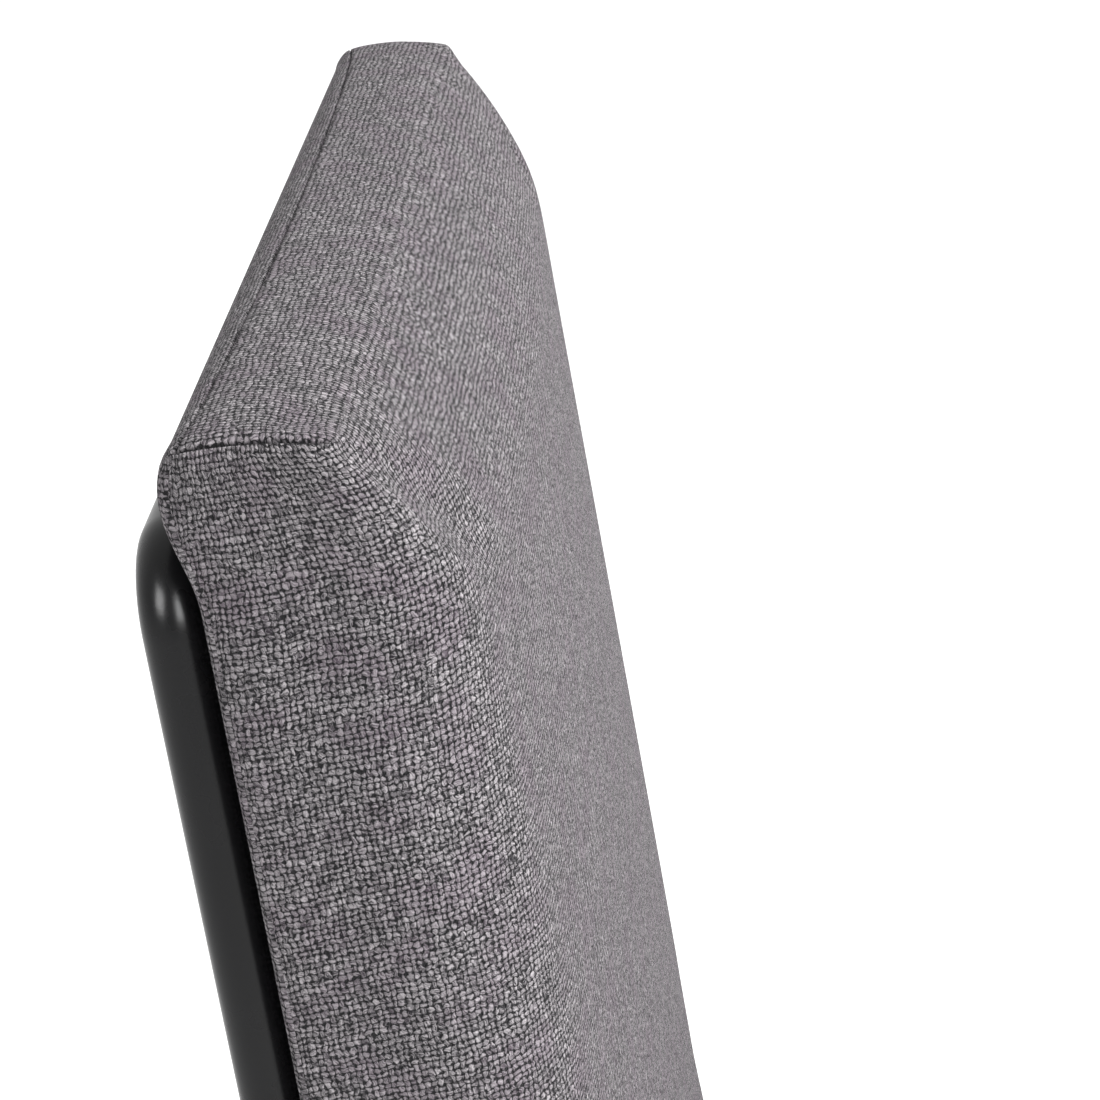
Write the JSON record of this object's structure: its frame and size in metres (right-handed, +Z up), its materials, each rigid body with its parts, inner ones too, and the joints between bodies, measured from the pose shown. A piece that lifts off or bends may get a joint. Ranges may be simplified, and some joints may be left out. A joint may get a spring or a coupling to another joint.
{
  "type": "dining chair",
  "caption": "Dining chair with a padded fabric seat and backrest on a bent black steel tube frame with splayed legs and plastic glides.",
  "frame": {"origin": "middle of the footprint, on the floor", "axes": "+Z up, the sitter faces -Y, +X across the seat"},
  "size_m": [0.4652, 0.562, 0.9406],
  "materials": {
    "upholstery": "grey marl plain weave",
    "frame_paint": "black satin powder coat",
    "glide_plastic": "moulded, matt",
    "zinc_steel": "bright zinc plate",
    "plywood": "birch plywood, sanded",
    "foam": "cut polyurethane foam",
    "dust_cloth": "black non-woven cloth"
  },
  "bodies": {
    "root": {"rear_frame_tube": "frame_paint", "front_frame_tube": "frame_paint", "rear_cross_rail": "frame_paint", "side_rail_left": "frame_paint", "glide_front_left": "glide_plastic", "glide_rear_left": "glide_plastic", "side_rail_right": "frame_paint", "glide_front_right": "glide_plastic", "glide_rear_right": "glide_plastic", "back_cover": "upholstery", "back_foam": "foam", "back_board": "plywood", "back_panel": "upholstery", "seat_cover": "upholstery", "seat_foam": "foam", "seat_board": "plywood", "seat_dust_cover": "dust_cloth", "back_tab_upper_left": "frame_paint", "back_washer_upper_left": "zinc_steel", "back_screw_upper_left": "zinc_steel", "back_tee_nut_upper_left": "zinc_steel", "back_tab_upper_right": "frame_paint", "back_washer_upper_right": "zinc_steel", "back_screw_upper_right": "zinc_steel", "back_tee_nut_upper_right": "zinc_steel", "back_tab_lower_left": "frame_paint", "back_washer_lower_left": "zinc_steel", "back_screw_lower_left": "zinc_steel", "back_tee_nut_lower_left": "zinc_steel", "back_tab_lower_right": "frame_paint", "back_washer_lower_right": "zinc_steel", "back_screw_lower_right": "zinc_steel", "back_tee_nut_lower_right": "zinc_steel", "seat_tab_front_left": "frame_paint", "seat_washer_front_left": "zinc_steel", "seat_screw_front_left": "zinc_steel", "seat_tee_nut_front_left": "zinc_steel", "seat_tab_front_right": "frame_paint", "seat_washer_front_right": "zinc_steel", "seat_screw_front_right": "zinc_steel", "seat_tee_nut_front_right": "zinc_steel", "seat_tab_rear_left": "frame_paint", "seat_washer_rear_left": "zinc_steel", "seat_screw_rear_left": "zinc_steel", "seat_tee_nut_rear_left": "zinc_steel", "seat_tab_rear_right": "frame_paint", "seat_washer_rear_right": "zinc_steel", "seat_screw_rear_right": "zinc_steel", "seat_tee_nut_rear_right": "zinc_steel"}
  },
  "joints": []
}
